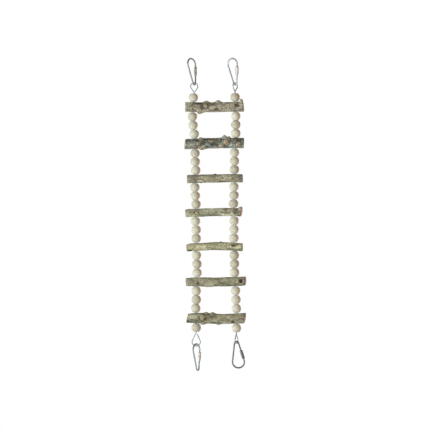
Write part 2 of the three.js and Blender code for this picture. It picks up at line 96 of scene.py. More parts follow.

# A knot is (along, angle, radius, height, stretch along the rung, colour, strength of colour). The dark
# knots are partly dark marks of the bark and partly painted shadow, set just right of or below a raised knot
# on its shaded side.
RUNGS = [
    dict(length=72.8, d=12.6, mid=-0.8, tilt=0.4, bow=-0.3, seed=3,
         wires=(-27.8, 25.7), cuts=((3, 0), (-7, 5)),
         base=((0.124, 0.119, 0.085), (0.427, 0.407, 0.305), (0.725, 0.739, 0.568)),
         knots=[
             (-10, 80, 3.2, 2.5, 1, DARK_BARK_AND_SHADOW, .35), (4.8, 82, 3.3, 3.1, 1, PALE, .8),
             (-19.6, -76, 5.2, 2.9, 1.1, DARK_BARK_AND_SHADOW, .22), (-21.5, -4, 4.2, 1.4, 1, TAN, .6),
             (-21.6, -10, 1.8, .4, 1, PALE, .6), (33.4, 84, 3.8, 4.2, 1, DARK_BARK_AND_SHADOW, .3),
             (-10.8, 20, 2.4, .8, 1, PALE, .8), (-8.2, 22, 1.4, -.5, .8, DARK_BARK_AND_SHADOW, .6),
             (-14.8, -5, 2.4, -.2, 1, SLATE, .7), (-1.9, -13, 2.4, .5, 1.7, PALE, .8),
             (3.8, -30, 2.0, -.4, 1.8, DARK_BARK_AND_SHADOW, .55), (6.3, -27, 1.5, .3, 1.3, PALE, .8),
             (22.6, 10, 2.7, .6, 1, PALE, .8), (27.8, 14, 2.6, -.3, 1, DARK_BARK_AND_SHADOW, .6),
             (-18.7, -42, 2.6, .3, 1.3, TAN, .5), (-18.7, 46, 2.6, -.2, 1.6, DARK_BARK_AND_SHADOW, .55),
             (12, 50, 2.2, .4, 1.4, DARK_BARK_AND_SHADOW, .4), (-14, 200, 3, 1.1, 1.2, TAN, .6),
             (10, 170, 3, 1.3, 1, TAN, .7), (26, 220, 2.4, .6, 1, DARK_BARK_AND_SHADOW, .5),
         ]),
    dict(length=73.6, d=12.9, mid=-0.8, tilt=1.2, bow=0.3, seed=8,
         wires=(-25.7, 25.2), cuts=((6, -6), (-5, -3)),
         base=((0.070, 0.080, 0.069), (0.287, 0.319, 0.268), (0.673, 0.721, 0.596)),
         knots=[
             (-17.2, 62, 3.0, 1.9, 1, TAN, .9), (-19.4, -8, 3.0, 1.2, .8, TAN, 1),
             (-15.6, -70, 4.0, 2.3, 1.2, TAN, .8), (12.8, 78, 3.0, 4.5, 1, TAN, .5),
             (14.9, 2, 2.8, 1.5, 1, TAN, 1), (8.6, -48, 2.6, 1.3, 1.2, PALE, .9),
             (30.2, -20, 2.8, 1.6, 1, TAN, .9), (-13.6, 2, 2.6, -.7, 1.1, DARK_BARK_AND_SHADOW, .55),
             (-3.7, 32, 2.4, .7, 2.0, PALE, .95), (4.8, 28, 1.9, .4, 1.4, TAN, .9),
             (18.6, 80, 2.6, 2.6, 1, DARK_BARK_AND_SHADOW, .5), (24.2, 34, 2.4, .6, 1.3, TAN, .9),
             (-31.2, -45, 1.9, .5, 1, TAN, .9), (-24.7, -45, 2.2, .4, 1, TAN, .8),
             (-36.8, 0, 2.0, .1, .6, TAN, .6), (0.2, -20, 2.4, -.4, 2, DARK_BARK_AND_SHADOW, .6),
             (-8.8, 150, 3, 1.5, 1, TAN, .9), (7.2, 190, 3, 1.3, 1.2, TAN, .9),
             (23.2, 170, 2.6, 1.0, 1, TAN, .8), (-25.8, 210, 2.6, .9, 1, TAN, .8),
             (-0.8, 240, 2.6, 1.1, 1, TAN, .8),
         ]),
    dict(length=69.6, d=10.6, mid=-0.2, tilt=0.9, bow=0.2, seed=13,
         wires=(-24.6, 24.1), cuts=((2, 0), (-5, 0)),
         base=((0.096, 0.099, 0.070), (0.379, 0.372, 0.257), (0.652, 0.655, 0.472)),
         knots=[
             (-18.3, -70, 4, .8, 1, SLATE, .35), (-26.4, -6, 5.0, .2, 1, SLATE, .55),
             (-26, -6, 1.5, .25, 1, RED, 1), (33.2, 30, 4, .1, 1, SLATE, .5),
             (0.2, 84, 1.3, .8, 1, DARK_BARK_AND_SHADOW, .6), (14.2, -10, 1.5, -.2, 3.4, ORANGE, .3),
             (22, -4, 1.3, .1, 1, RED, .8), (6.2, -58, 2.0, -.1, 2.5, RED, .5),
             (9.8, 4, 1.3, -.3, .6, DARK_BARK_AND_SHADOW, .7), (27.2, 20, 3.4, .1, 1.6, GREEN, .5),
             (-9.8, 10, 2.4, .1, 2.6, PALE, .4), (8.2, 200, 2.6, .8, 1, TAN, .7),
         ]),
    dict(length=70, d=10.4, mid=-1.9, tilt=0.9, bow=0.3, seed=21,
         wires=(-24.3, 23.4), cuts=((6, 3), (-14, -10)),
         base=((0.132, 0.140, 0.096), (0.458, 0.479, 0.334), (0.784, 0.824, 0.616)),
         knots=[
             (33.8, 68, 3.8, 2.4, .9, DARK_BARK_AND_SHADOW, .4), (-32.4, 20, 4, .1, 1.3, SLATE, .45),
             (-21.4, -2, 2.6, .1, 1.1, SLATE, .7), (-21.4, -2, 1.7, .5, 1.1, HONEY, 1),
             (-24, 6, 1.2, -.3, .6, DARK_BARK_AND_SHADOW, .7), (32.6, -60, 2.0, -.2, 1, DARK_BARK_AND_SHADOW, .7),
             (27.1, -10, 2.4, -.3, 1, DARK_BARK_AND_SHADOW, .55), (14.6, -6, 1.8, -.2, 2.6, TAN, .7),
             (10.2, 0, 1.2, -.2, .7, DARK_BARK_AND_SHADOW, .6), (-30.4, 8, 3, .2, 1, PALE, .5),
             (20.6, 26, 2.0, .3, 2, PALE, .7), (33.4, 20, 3.2, .7, .8, PINK, .8),
             (-5.4, 190, 2.6, .8, 1, TAN, .7), (-37, 80, 5, -.9, .8, PALE, .1),
         ]),
    dict(length=69.6, d=10.3, mid=-0.4, tilt=0.4, bow=0.7, seed=34,
         wires=(-23.5, 23.8), cuts=((10, 4), (-8, 0)),
         base=((0.144, 0.147, 0.092), (0.468, 0.473, 0.301), (0.707, 0.716, 0.489)),
         knots=[
             (23.7, 16, 1.6, -.5, 1.5, DARK_BARK_AND_SHADOW, .8), (7.7, 84, 1.3, 1.0, 1, DARK_BARK_AND_SHADOW, .5),
             (-31.8, -68, 2.2, -.4, 1.4, DARK_BARK_AND_SHADOW, .9), (-27.3, -20, 2.2, .2, 1, PINK, .5),
             (-17.8, -30, 2.0, .2, 1.5, PALE, .8), (24.7, -14, 1.8, .1, 1, PINK, .5),
             (27.7, 36, 2.2, -.2, 1, DARK_BARK_AND_SHADOW, .4), (-27.3, 24, 3, .1, 1.5, GREEN, .4),
             (-14, 86, 6, -.7, 1.5, PALE, .1), (-36, 80, 5, -1.2, .8, PALE, .1),
             (5.7, 200, 2.6, .8, 1, TAN, .7),
         ]),
    dict(length=74, d=11.5, mid=1, tilt=0.5, bow=-0.4, seed=55,
         wires=(-23, 25), cuts=((9, 3), (-12, -2)),
         base=((0.096, 0.096, 0.065), (0.351, 0.355, 0.241), (0.590, 0.607, 0.420)),
         knots=[
             (-7.8, -60, 5, .7, 1, TAN, .12), (-24.7, 4, 2.3, .5, 1, TAN, .9),
             (-22.2, -8, 1.4, -.3, 1, DARK_BARK_AND_SHADOW, .6), (-9.3, -26, 2.6, .1, 1.3, ORANGE, .35),
             (31.6, 4, 2.7, -.9, .9, DARK_BARK_AND_SHADOW, .85), (27.0, 0, 2.4, .4, .9, PALE, .9),
             (-31.8, 5, 4.5, .1, 1.1, SLATE, .5), (35.8, -40, 2.2, .5, .8, DARK_BARK_AND_SHADOW, .6),
             (12.2, 30, 3, .1, 2, PALE, .3), (-35, 80, 6, -1.1, 1, SLATE, .3),
             (14.2, 200, 2.6, .9, 1, TAN, .7),
         ]),
    dict(length=71.8, d=13.2, mid=1.4, tilt=-0.6, bow=-0.5, seed=89,
         wires=(-23.8, 26.8), cuts=((4, -12), (-12, -8)),
         base=((0.122, 0.120, 0.083), (0.345, 0.345, 0.237), (0.552, 0.558, 0.393)),
         knots=[
             (-16.7, 8, 2.6, 1.5, 1.1, ORANGE, .55), (-16.6, -74, 3.0, 2.1, 1, DARK_BARK_AND_SHADOW, .3),
             (-12.3, 80, 2.8, 1.9, 1, TAN, .5), (-4.5, 82, 2.8, 2.0, 1, DARK_BARK_AND_SHADOW, .3),
             (2.9, -78, 2.6, 1.7, 1, DARK_BARK_AND_SHADOW, .3), (19.9, 48, 2.4, .8, 1, TAN, .7),
             (20.9, -40, 2.2, -.3, 1, DARK_BARK_AND_SHADOW, .8), (-13.7, -4, 1.5, -.4, .8, DARK_BARK_AND_SHADOW, .7),
             (-35.1, -50, 2.6, -.2, 1, DARK_BARK_AND_SHADOW, .6), (15.9, 60, 2, .1, 1.6, DARK_BARK_AND_SHADOW, .5),
             (32.9, 16, 3, .1, 1, PINK, .4), (8.9, 190, 3, 1.2, 1, TAN, .7),
             (-21.1, 210, 3, .9, 1, TAN, .7), (10, 86, 7, -.9, 2, SLATE, .1),
             (-34, 80, 6, -1.7, 1, SLATE, .1),
         ]),
]
LEFT, RIGHT = 0, 1
SIDE_NAMES = ("left", "right")
TOP_X, BOTTOM_X = (-26.0, 25.2), (-23.5, 26.9)
EYES = {
    "top_left": (TOP_EYE, 4.5, -10), "top_right": (TOP_EYE, 4.1, 48),
    "bottom_left": (16.8, 5.2, -4), "bottom_right": (13.2, 4.1, 62),
}
LINKS = {
    "top_left": ("narrow", TOP_LEAN, 51), "top_right": ("narrow", TOP_LEAN, -41),
    "bottom_left": ("wide", 4, 57), "bottom_right": ("narrow", 6, 180),
}

WIDE_R, NARROW_R = (LINK_W - LINK_D) / 2, (LINK_N - LINK_D) / 2
CENTRES = LINK_L - LINK_D - WIDE_R - NARROW_R
LEG_ANGLE = math.asin((WIDE_R - NARROW_R) / CENTRES)
LEG_LENGTH = CENTRES * math.cos(LEG_ANGLE)
CONTACT = (LINK_D + WIRE_D) / 2 + HOOK_PLAY
PIVOT_FROM_WIDE = CENTRES + NARROW_R - CONTACT
TOP_PIVOT_Z = -(WIDE_R - LINK_D / 2) - PIVOT_FROM_WIDE * math.cos(math.radians(TOP_LEAN))


def smoothstep(x, low, high):
    t = np.clip((np.asarray(x, float) - low) / (high - low), 0, 1)
    return t * t * (3 - 2 * t)


def bow_at(rung, along):
    reach = (rung["wires"][1] - rung["wires"][0]) / 2
    return rung["bow"] * (1 - (along / reach) ** 2)


RUNG_Z = []
for i, rung in enumerate(RUNGS):
    if i == 0:
        top_bead = TOP_PIVOT_Z - TOP_EYE - WIRE_RISE - BEAD_L / 2
        RUNG_Z.append(top_bead - BEAD_L / 2 - STACK_PLAY - rung["d"] / 2)
    else:
        beads = BEADS_PER_GAP * (BEAD_L + GAP_LENGTH_CHANGES[i - 1]) + (BEADS_PER_GAP + 1) * STACK_PLAY
        RUNG_Z.append(RUNG_Z[-1] - (RUNGS[i - 1]["d"] + rung["d"]) / 2 - beads)


def rung_height(i, x):
    rung = RUNGS[i]
    slope = math.tan(math.radians(rung["tilt"]))
    return RUNG_Z[i] + (x - rung["mid"]) * slope + bow_at(rung, x - rung["mid"])


def bottom_crossing(side):
    x = RUNGS[-1]["wires"][side]
    return rung_height(6, x) - RUNGS[-1]["d"] / 2 - STACK_PLAY - BEAD_L - WIRE_RISE


def wire_x(side, z):
    stops = [(TOP_PIVOT_Z - TOP_EYE, TOP_X[side])]
    stops += [(rung_height(i, r["wires"][side]), r["wires"][side]) for i, r in enumerate(RUNGS)]
    stops.append((bottom_crossing(side), BOTTOM_X[side]))
    i = 0
    while i < len(stops) - 2 and z < stops[i + 1][0]:
        i += 1
    (za, xa), (zb, xb) = stops[i], stops[i + 1]
    return xa + (xb - xa) * float(smoothstep(za - z, 0, za - zb))


# ---- Seeded noise ----

def noise(points, scale, seed):
    """Smooth value noise from -1 to 1 at points, with cells of the given size."""
    p = np.asarray(points, float) / scale
    cell = np.floor(p).astype(np.int64)
    f = p - cell
    f = f * f * (3 - 2 * f)
    total = np.zeros(len(p))
    for corner in range(8):
        step = np.array([corner & 1, corner >> 1 & 1, corner >> 2 & 1])
        c = cell + step
        h = (c[:, 0] * 73856093) ^ (c[:, 1] * 19349663) ^ (c[:, 2] * 83492791) ^ (seed * 2654435761)
        h = (h ^ (h >> 13)) * 1274126177 & 0x7FFFFFFF
        h = (h ^ (h >> 16)) & 0xFFFF
        weight = np.prod(np.where(step, f, 1 - f), axis=1)
        total += weight * (h / 32767.5 - 1)
    return total


# ---- Mesh helpers ----

def new_mesh(name, points, faces, materials, smooth=True, scale=MM):
    mesh = bpy.data.meshes.new(name)
    mesh.from_pydata((np.asarray(points, float) * scale).tolist(), [], faces)
    mesh.update()
    if smooth:
        mesh.polygons.foreach_set("use_smooth", [True] * len(mesh.polygons))
    for m in materials:
        mesh.materials.append(m)
    obj = bpy.data.objects.new(name, mesh)
    bpy.context.collection.objects.link(obj)
    return obj


def attribute(obj, name, kind, values):
    made = obj.data.attributes.new(name, kind, "POINT")
    field = {"FLOAT": "value", "FLOAT_VECTOR": "vector", "FLOAT_COLOR": "color"}[kind]
    made.data.foreach_set(field, np.asarray(values, np.float32).ravel())


def grid_faces(rows, columns, wrap_rows=False):
    """Quads of a grid whose columns wrap round."""
    faces = []
    last = rows if wrap_rows else rows - 1
    for i in range(last):
        a, b = i * columns, (i + 1) % rows * columns
        for j in range(columns):
            k = (j + 1) % columns
            faces.append((a + j, a + k, b + k, b + j))
    return faces


def tube(stations, radii, sides):
    """A round bar along stations, with frames carried along without twist. Returns points and faces."""
    p = np.asarray(stations, float)
    tangent = np.gradient(p, axis=0)
    tangent /= np.linalg.norm(tangent, axis=1)[:, None]
    side = np.cross(tangent[0], [0.123, 0.456, 0.881])
    side /= np.linalg.norm(side)
    radii = np.broadcast_to(np.asarray(radii, float), (len(p),))
    angles = np.arange(sides) / sides * 2 * math.pi
    points = []
    for i in range(len(p)):
        side = side - tangent[i] * np.dot(side, tangent[i])
        side /= np.linalg.norm(side)
        other = np.cross(tangent[i], side)
        ring = np.outer(np.cos(angles), side) + np.outer(np.sin(angles), other)
        points.append(p[i] + ring * radii[i])
    points = np.concatenate(points)
    faces = grid_faces(len(p), sides)
    n = len(p) * sides
    ends = np.array([p[0], p[-1]])
    points = np.concatenate([points, ends])
    for j in range(sides):
        k = (j + 1) % sides
        faces.append((n, k, j))
        faces.append((n + 1, n - sides + j, n - sides + k))
    return points, faces


# ---- Materials ----

def nodes_of(name):
    m = bpy.data.materials.new(name)
    m.use_nodes = True
    t = m.node_tree
    return m, t, t.nodes["Principled BSDF"]


def mix(tree, factor, a, b, blend="MIX"):
    n = tree.nodes.new("ShaderNodeMix")
    n.data_type, n.blend_type = "RGBA", blend
    for socket, value in ((n.inputs[0], factor), (n.inputs[6], a), (n.inputs[7], b)):
        if isinstance(value, bpy.types.NodeSocket):
            tree.links.new(value, socket)
        elif isinstance(value, tuple):
            socket.default_value = (*value, 1)
        else:
            socket.default_value = value
    return n.outputs[2]


def maths(tree, operation, a, b=0.0, clamp=False):
    n = tree.nodes.new("ShaderNodeMath")
    n.operation, n.use_clamp = operation, clamp
    for socket, value in ((n.inputs[0], a), (n.inputs[1], b)):
        if isinstance(value, bpy.types.NodeSocket):
            tree.links.new(value, socket)
        else:
            socket.default_value = value
    return n.outputs[0]


def ramp(tree, source, *stops):
    n = tree.nodes.new("ShaderNodeValToRGB")
    tree.links.new(source, n.inputs[0])
    band = n.color_ramp.elements
    while len(band) < len(stops):
        band.new(0.5)
    for element, (position, colour) in zip(band, stops):
        element.position = position
        element.color = (*colour, 1) if isinstance(colour, tuple) else (colour, colour, colour, 1)
    return n.outputs[0]


def scaled(tree, source, scale, shift=(0, 0, 0)):
    n = tree.nodes.new("ShaderNodeMapping")
    tree.links.new(source, n.inputs["Vector"])
    n.inputs["Scale"].default_value = scale
    n.inputs["Location"].default_value = shift
    return n.outputs[0]


def noise_node(tree, vector, scale, detail=3.0, roughness=0.55, distortion=0.0):
    n = tree.nodes.new("ShaderNodeTexNoise")
    tree.links.new(vector, n.inputs["Vector"])
    n.inputs["Scale"].default_value = scale
    n.inputs["Detail"].default_value = detail
    n.inputs["Roughness"].default_value = roughness
    n.inputs["Distortion"].default_value = distortion
    return n.outputs["Fac"]


def read_attribute(tree, name):
    n = tree.nodes.new("ShaderNodeAttribute")
    n.attribute_name = name
    return n.outputs


def bump(tree, shader, height, strength, distance):
    n = tree.nodes.new("ShaderNodeBump")
    n.inputs["Strength"].default_value = strength
    n.inputs["Distance"].default_value = distance
    tree.links.new(height, n.inputs["Height"])
    tree.links.new(n.outputs[0], shader.inputs["Normal"])


def bark_material(name, dark, middle, light, seed, speckle):
    m, t, shader = nodes_of(name)
    place = t.nodes.new("ShaderNodeTexCoord").outputs["Object"]
    shift = (seed * 0.37, seed * 0.11, seed * 0.23)
    broad = noise_node(t, scaled(t, place, (0.5, 1, 1), shift), 170, 4, 0.6)
    fibres = noise_node(t, scaled(t, place, (0.38, 1, 1), shift), 800, 4, 0.7)
    grit = noise_node(t, scaled(t, place, (0.8, 1, 1), shift), 760, 5, 0.72)
    rings = noise_node(t, scaled(t, place, (1, 0.22, 0.22), shift), 900, 2, 0.5)
    tone = maths(t, "ADD", maths(t, "MULTIPLY", broad, 0.6), maths(t, "MULTIPLY", fibres, 0.4))
    colour = ramp(t, tone, (0.36, dark), (0.50, middle), (0.64, light))
    speck = ramp(t, grit, (0.38, 1 - 0.55 * speckle), (0.62, 1 + 0.5 * speckle))
    colour = mix(t, 0.9, colour, speck, "MULTIPLY")
    pores = ramp(t, rings, (0.66, 0.0), (0.72, 1.0))
    colour = mix(t, maths(t, "MULTIPLY", pores, 0.45), colour, tuple(min(1, c * 1.25) for c in light))
    tint = read_attribute(t, "tint")
    amount = read_attribute(t, "tint_amount")
    fray = maths(t, "MULTIPLY", maths(t, "SUBTRACT", fibres, 0.5), 0.9)
    ragged = maths(t, "ADD", amount["Fac"], fray)
    edge = ramp(t, ragged, (0.22, 0.0), (0.62, 1.0))
    inked = mix(t, 0.6, tint["Color"], speck, "MULTIPLY")
    colour = mix(t, edge, colour, inked)
    # painted shade and highlight: the colour is multiplied down in the bark's hollows and creases and up on
    # its raised parts
    painted_relief_shading = read_attribute(t, "painted_relief_shading")
    shade = ramp(t, painted_relief_shading["Fac"], (0.30, 0.45), (0.52, 1.0), (0.75, 1.18))
    colour = mix(t, 1.0, colour, shade, "MULTIPLY")
    t.links.new(colour, shader.inputs["Base Color"])
    shader.inputs["Roughness"].default_value = 0.82
    shader.inputs["Specular IOR Level"].default_value = 0.25
    height = maths(t, "ADD", maths(t, "MULTIPLY", fibres, 0.6), maths(t, "MULTIPLY", grit, 0.4))
    height = maths(t, "ADD", height, maths(t, "MULTIPLY", pores, 0.25))
    bump(t, shader, height, 0.75, 0.0006)
    return m


def cut_material(name, pale, dark):
    """The sawn end of a branch: rings round the pith, fine rays, and a dark bark line at the rim."""
    m, t, shader = nodes_of(name)
    place = t.nodes.new("ShaderNodeTexCoord").outputs["Object"]
    flat = scaled(t, place, (0, 1, 1))
    length = t.nodes.new("ShaderNodeVectorMath")
    length.operation = "LENGTH"
    t.links.new(flat, length.inputs[0])
    wobble = noise_node(t, flat, 260, 2)
    distance = maths(t, "ADD", length.outputs["Value"], maths(t, "MULTIPLY", wobble, 0.0014))
    wave = maths(t, "SINE", maths(t, "MULTIPLY", distance, 5200.0))
    rings = ramp(t, maths(t, "ADD", maths(t, "MULTIPLY", wave, 0.5), 0.5), (0.2, 0.0), (0.9, 1.0))
    fibre = noise_node(t, scaled(t, place, (0.3, 1, 1)), 2600, 3, 0.7)
    colour = mix(t, maths(t, "MULTIPLY", rings, 0.5), pale, dark)
    from_pith = maths(t, "MULTIPLY", distance, 1000.0 / 2.4)
    heart = ramp(t, from_pith, (0.12, (0.45, 0.40, 0.34)), (0.3, (0.84, 0.80, 0.76)), (1.0, (1.0, 1.0, 1.0)))
    colour = mix(t, 1.0, colour, heart, "MULTIPLY")
    saw = noise_node(t, scaled(t, place, (1, 0.15, 1)), 1800, 2)
    colour = mix(t, 0.55, colour, ramp(t, fibre, (0.35, 0.55), (0.6, 1.2)), "MULTIPLY")
    rim = read_attribute(t, "rim")
    colour = mix(t, ramp(t, rim["Fac"], (0.80, 0.0), (0.93, 1.0)), colour, (0.07, 0.055, 0.04))
    t.links.new(colour, shader.inputs["Base Color"])
    shader.inputs["Roughness"].default_value = 0.85
    shader.inputs["Specular IOR Level"].default_value = 0.2
    bump(t, shader, maths(t, "ADD", fibre, saw), 0.5, 0.0003)
    return m


def bead_material():
    m, t, shader = nodes_of("bead_wood")
    grain = read_attribute(t, "grain")
    tone = read_attribute(t, "tone")
    place = grain["Vector"]
    streaks = noise_node(t, scaled(t, place, (1, 1, 0.12)), 1500, 4, 0.6)
    blotch = noise_node(t, place, 230, 3, 0.5)
    pores = noise_node(t, scaled(t, place, (1, 1, 0.18)), 4200, 2, 0.5)
    colour = ramp(t, streaks, (0.36, (0.62, 0.605, 0.475)), (0.52, (0.69, 0.70, 0.585)),
                  (0.70, (0.73, 0.755, 0.66)))
    patches = ramp(t, blotch, (0.35, (0.92, 0.90, 0.86)), (0.62, (1.02, 1.04, 1.02)))
    colour = mix(t, 0.8, colour, patches, "MULTIPLY")
    lightness = ramp(t, tone["Fac"], (0.0, (0.84, 0.82, 0.80)), (1.0, (1.04, 1.05, 1.06)))
    colour = mix(t, 1.0, colour, lightness, "MULTIPLY")
    dots = ramp(t, pores, (0.27, 1.0), (0.34, 0.0))
    colour = mix(t, maths(t, "MULTIPLY", dots, 0.35), colour, (0.34, 0.26, 0.15))
    hole = read_attribute(t, "hole")
    colour = mix(t, maths(t, "MULTIPLY", hole["Fac"], 0.75), colour, (0.22, 0.15, 0.08))
    t.links.new(colour, shader.inputs["Base Color"])
    shader.inputs["Roughness"].default_value = 0.62
    shader.inputs["Specular IOR Level"].default_value = 0.3
    height = maths(t, "ADD", streaks, maths(t, "MULTIPLY", dots, -0.6))
    bump(t, shader, height, 0.35, 0.0003)
    return m


def steel_material(name, colour, rough):
    m, t, shader = nodes_of(name)
    place = t.nodes.new("ShaderNodeTexCoord").outputs["Object"]
    cloud = noise_node(t, place, 420, 4, 0.6)
    fine = noise_node(t, place, 3800, 3, 0.6)
    shade = tuple(c * 0.8 for c in colour)
    t.links.new(mix(t, ramp(t, cloud, (0.38, 0.0), (0.66, 1.0)), shade, colour), shader.inputs["Base Color"])
    shader.inputs["Metallic"].default_value = 0.85
    t.links.new(ramp(t, cloud, (0.3, rough + 0.1), (0.7, rough)), shader.inputs["Roughness"])
    bump(t, shader, fine, 0.06, 0.00008)
    return m


bead_wood = bead_material()
wire_steel = steel_material("wire_steel", (0.30, 0.36, 0.40), 0.42)
NUT_STEEL = {
    "top_left": steel_material("nut_steel_1", (0.58, 0.56, 0.53), 0.5),
    "top_right": steel_material("nut_steel_2", (0.66, 0.65, 0.62), 0.5),
    "bottom_left": steel_material("nut_steel_3", (0.60, 0.59, 0.55), 0.5),
    "bottom_right": steel_material("nut_steel_4", (0.15, 0.165, 0.16), 0.45),
}
LINK_STEEL = {
    "top_left": steel_material("link_steel_1", (0.34, 0.37, 0.39), 0.42),
    "top_right": steel_material("link_steel_2", (0.42, 0.45, 0.47), 0.42),
    "bottom_left": steel_material("link_steel_3", (0.32, 0.37, 0.40), 0.42),
    "bottom_right": steel_material("link_steel_4", (0.17, 0.20, 0.205), 0.45),
}

# ---- Rungs ----

STATIONS, ROUND = 200, 76
WIDE_KNOT = 4.5  # knots this wide reshape the branch, with no painted shade of their own in a pit or round their foot
SAWN_RINGS = (0.93, 0.8, 0.62, 0.42, 0.2)  # rings of the sawn end, as shares of its rim


def make_rung(index):
    rung = RUNGS[index]
    half = rung["length"] / 2
    along = np.linspace(-half, half, STATIONS)
    angle = np.arange(ROUND) / ROUND * 2 * math.pi
    s, a = [g.ravel() for g in np.meshgrid(along, angle, indexing="ij")]
    base = rung["d"] / 2
    rim = np.stack([s, -np.cos(a) * base, np.sin(a) * base], 1)
    seats = np.min([np.abs(s - (x - rung["mid"])) for x in rung["wires"]], axis=0)
    seated = 1 - smoothstep(seats, SEAT_WIDTH, SEAT_WIDTH + SEAT_RAMP)
    allowed = 1 - smoothstep(np.abs(np.sin(a)), 0.35, 0.75) * seated  # share of the bark kept under a bead

    high, low, pits = np.zeros((3, len(s)))
    tint = np.tile(np.array(rung["base"][1]), (len(s), 1))
    amount = np.zeros(len(s))
    knot_hollow_shade = np.zeros(len(s))
    jitter = noise(rim, 2.2, rung["seed"] + 5) * 0.22
    for k_along, k_angle, radius, peak, stretch, colour, strength in rung["knots"]:
        turn = a - math.radians(k_angle)
        turn = np.arctan2(np.sin(turn), np.cos(turn))
        distance = np.hypot((s - k_along) / stretch, turn * base) / radius
        bell = np.exp(-(distance ** 2))
        if peak > 0:
            # a branch scar: a raised collar with a slight hollow in its middle
            hollow = 0.35 * np.exp(-((distance / 0.38) ** 2)) if peak > 0.9 and radius < 4 else 0
            high = np.maximum(high, peak * bell - hollow * peak * 0.5)
        else:
            low = np.minimum(low, peak * bell)
            if radius < WIDE_KNOT:
                pits = np.minimum(pits, peak * bell)
        # painted shade in the crease round the foot of a raised knot and in its hollow middle
        if peak > 0.25 and radius < WIDE_KNOT:
            ring = np.exp(-(((distance + jitter - 1.5) / 0.28) ** 2))
            ring = ring + 0.5 * np.exp(-((distance / 0.35) ** 2))
            knot_hollow_shade = np.maximum(knot_hollow_shade, ring * min(1, peak))
        # a knot's tint is the bark's own colour, except for the dark knots beside raised ones, whose tint is
        # painted shadow
        cover = strength * smoothstep(1.5 - distance + jitter, 0.1, 0.6)
        core = np.zeros(len(s))
        if colour in (TAN, PALE) and peak > 0.5:
            core = 0.75 * np.exp(-((distance / 0.42) ** 2))
        shown = np.array(colour) * (1 - core[:, None]) + np.array(CORE) * core[:, None]
        tint = tint * (1 - cover[:, None]) + shown * cover[:, None]
        amount = np.maximum(amount, cover)

    seed = rung["seed"]
    coarse = noise(rim * [0.35, 1, 1], 4.5, seed) * 0.26 + noise(rim * [0.5, 1, 1], 2.0, seed + 1) * 0.14
    fine = noise(rim * [0.4, 1, 1], 0.8, seed + 2) * 0.09 + noise(rim, 0.45, seed + 3) * 0.05
    bark = (coarse + fine) * BARK_ROUGHNESS.get(index, BARK_PLAIN)
    bark = bark * (0.35 + 0.65 * allowed)
    edge = half - np.abs(s)
    rounding = 0.35 * (1 - smoothstep(edge, 0, 0.7)) ** 2
    r = base - 0.05 + high * allowed + low + bark - rounding
    x, y, z = s.copy(), -np.cos(a) * r, np.sin(a) * r
    left = s < 0
    (yaw_l, pitch_l), (yaw_r, pitch_r) = rung["cuts"]
    yaw = np.where(left, math.tan(math.radians(yaw_l)), math.tan(math.radians(yaw_r)))
    pitch = np.where(left, math.tan(math.radians(pitch_l)), math.tan(math.radians(pitch_r)))
    near = smoothstep(np.abs(s), half * 0.8, half)
    x = x - (y * yaw + z * pitch) * near
    z = z + bow_at(rung, s)
    points = np.stack([x, y, z], 1)
    faces = grid_faces(STATIONS, ROUND)

    # painted shade and highlight: the bark's colour is darkened in its hollows, its pits and the creases
    # round raised knots, and lightened on raised bark and knots
    painted_relief_shading = 0.5 + (bark + pits * 0.8 + 0.25 * high * allowed) / 1.6 - 0.3 * knot_hollow_shade
    start = len(points)
    total = start
    rows, sheets = [], []
    rim_share = [np.ones(start)]
    for end in (0, 1):
        first = 0 if end == 0 else (STATIONS - 1) * ROUND
        ring = points[first:first + ROUND]
        centre = ring.mean(0)
        previous = list(range(first, first + ROUND))
        for share in SAWN_RINGS:
            p = centre + (ring - centre) * share
            rough_face = noise(p * [1, 1, 0.3], 0.7, seed + 11 + end) * 0.05
            p[:, 0] += rough_face + (0.06 * (1 - share) if end else -0.06 * (1 - share))
            rows.append(p)
            rim_share.append(np.full(ROUND, share))
            now = list(range(total, total + ROUND))
            total += ROUND
            for j in range(ROUND):
                k = (j + 1) % ROUND
                quad = (previous[j], previous[k], now[k], now[j])
                sheets.append(quad[::-1] if end == 0 else quad)
            previous = now
        rows.append(centre[None])
        rim_share.append(np.zeros(1))
        for j in range(ROUND):
            tri = (previous[j], previous[(j + 1) % ROUND], total)
            sheets.append(tri[::-1] if end == 0 else tri)
        total += 1
    extra = total - start
    points = np.concatenate([points, *rows])
    speckle = 1.5 if index == SPECKLED_RUNG else 1.0
    bark_m = bark_material(f"bark_{index + 1}", *rung["base"], seed, speckle)
    pale = SAWN.get(index, SAWN_PLAIN)
    cut_m = cut_material(f"sawn_end_{index + 1}", pale, tuple(c * 0.55 for c in pale))
    obj = new_mesh(f"rung_{index + 1}_bark", points, [*faces, *sheets], [bark_m, cut_m])
    slots = [0] * len(faces) + [1] * len(sheets)
    obj.data.polygons.foreach_set("material_index", slots)
    attribute(obj, "tint", "FLOAT_COLOR",
              np.concatenate([np.column_stack([tint, np.ones(start)]), np.ones((extra, 4))]))
    attribute(obj, "tint_amount", "FLOAT", np.concatenate([amount, np.zeros(extra)]))
    attribute(obj, "painted_relief_shading", "FLOAT", np.concatenate([painted_relief_shading, np.full(extra, 0.5)]))
    attribute(obj, "rim", "FLOAT", np.concatenate(rim_share))
    obj.matrix_world = (Matrix.Translation(Vector((rung["mid"], 0, RUNG_Z[index])) * MM)
                        @ Matrix.Rotation(-math.radians(rung["tilt"]), 4, "Y"))
    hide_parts(f"rung_{index + 1}")
    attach(obj, f"section_{index + 1}")


for i in range(len(RUNGS)):
    make_rung(i)

# ---- Beads ----

BEAD_ROUND = 40


